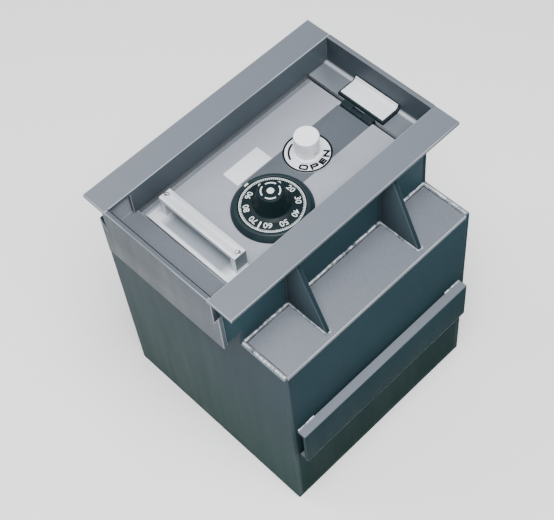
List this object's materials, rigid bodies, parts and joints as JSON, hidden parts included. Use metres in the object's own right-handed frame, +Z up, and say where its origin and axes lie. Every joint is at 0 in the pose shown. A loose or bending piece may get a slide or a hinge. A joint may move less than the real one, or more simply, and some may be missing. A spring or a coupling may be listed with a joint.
{
  "type": "in-floor deposit safe",
  "caption": "Welded steel in-floor safe with a recessed lift-up door, combination dial, release knob, lift handle and anchor channel",
  "frame": {"origin": "centre of the underside of the base plate", "axes": "+Z up, out of the door; +X towards the hinge end; +Y towards the back, the side without the anchor channel"},
  "size_m": [0.356, 0.321, 0.424],
  "materials": {
    "body_paint": "satin",
    "weld_bead": "satin",
    "door_paint": "satin",
    "panel_paint": "satin",
    "strip_paint": "satin",
    "white_plate": "satin",
    "bright_metal": "satin",
    "dial_black": "satin",
    "raw_steel": "satin",
    "lock_brass": "satin"
  },
  "bodies": {
    "body": {"base_plate": "body_paint", "front_plate": "body_paint", "back_plate": "body_paint", "near_end_plate": "body_paint", "far_end_plate": "body_paint", "front_shoulder_plate": "body_paint", "back_shoulder_plate": "body_paint", "front_neck_plate": "body_paint", "back_neck_plate": "body_paint", "near_collar_plate": "body_paint", "pocket_floor": "body_paint", "near_ledge_plate": "body_paint", "bolt_keeper": "body_paint", "far_ledge_angle": "body_paint", "front_flange_angle": "body_paint", "back_flange_angle": "body_paint", "front_near_gusset": "body_paint", "front_far_gusset": "body_paint", "back_near_gusset": "body_paint", "back_far_gusset": "body_paint", "anchor_channel": "body_paint", "neck_welds": "weld_bead", "gusset_welds": "weld_bead", "shoulder_welds": "weld_bead", "channel_welds": "weld_bead", "front_door_rest": "body_paint", "back_door_rest": "body_paint", "hinge_fixed_leaf": "body_paint", "hinge_leaf_plate": "white_plate", "hinge_pin": "raw_steel"},
    "door": {"door_slab": "door_paint", "face_panel": "panel_paint", "centre_strip": "strip_paint", "hinge_door_knuckle": "door_paint", "lift_handle": "bright_metal", "handle_screws": "raw_steel", "name_plate": "white_plate", "dial_ring": "dial_black", "knob_plate": "white_plate", "lock_case": "lock_brass", "lock_cover": "lock_brass", "lock_cover_screws": "raw_steel", "wheel_post": "lock_brass", "bolt_guide_block": "raw_steel", "bar_guide": "raw_steel"},
    "combination_dial": {"dial": "dial_black", "dial_spindle": "raw_steel", "drive_cam": "lock_brass"},
    "first_wheel": {"wheel_one": "lock_brass"},
    "second_wheel": {"wheel_two": "lock_brass"},
    "third_wheel": {"wheel_three": "lock_brass"},
    "lock_slide": {"lock_bolt": "lock_brass", "lock_lever": "lock_brass"},
    "knob": {"release_knob": "bright_metal", "knob_set_screw": "raw_steel", "knob_spindle": "raw_steel", "knob_crank": "raw_steel"},
    "bolt_work": {"bolt_bar": "raw_steel", "bolt_head": "raw_steel", "locking_bolts": "raw_steel"}
  },
  "joints": [
    {"name": "door_hinge", "type": "hinge", "parent": "body", "child": "door", "pos_m": [0.136, 0.009, 0.379], "axis": [0, 1, 0], "range_deg": [0, 95]},
    {"name": "dial_turn", "type": "hinge", "parent": "door", "child": "combination_dial", "pos_m": [-0.02948, -0.017, 0.39], "axis": [0, 0, 1], "continuous": true},
    {"name": "wheel_one_turn", "type": "hinge", "parent": "door", "child": "first_wheel", "pos_m": [-0.02948, -0.017, 0.3538], "axis": [0, 0, 1], "continuous": true},
    {"name": "wheel_two_turn", "type": "hinge", "parent": "door", "child": "second_wheel", "pos_m": [-0.02948, -0.017, 0.3573], "axis": [0, 0, 1], "continuous": true},
    {"name": "wheel_three_turn", "type": "hinge", "parent": "door", "child": "third_wheel", "pos_m": [-0.02948, -0.017, 0.3608], "axis": [0, 0, 1], "continuous": true},
    {"name": "lock_bolt_slide", "type": "slide", "parent": "door", "child": "lock_slide", "axis": [0, 1, 0], "range_m": [0, 0.0095]},
    {"name": "knob_turn", "type": "hinge", "parent": "door", "child": "knob", "pos_m": [0.05349, 0.0095, 0.39], "axis": [0, 0, 1], "range_deg": [0, 90]},
    {"name": "bolt_slide", "type": "slide", "parent": "door", "child": "bolt_work", "axis": [-1, 0, 0], "range_m": [0, 0.022]}
  ],
  "couplings": [
    {"joint": "knob_turn", "follows": "bolt_slide", "rad_per_m": 71.4}
  ]
}
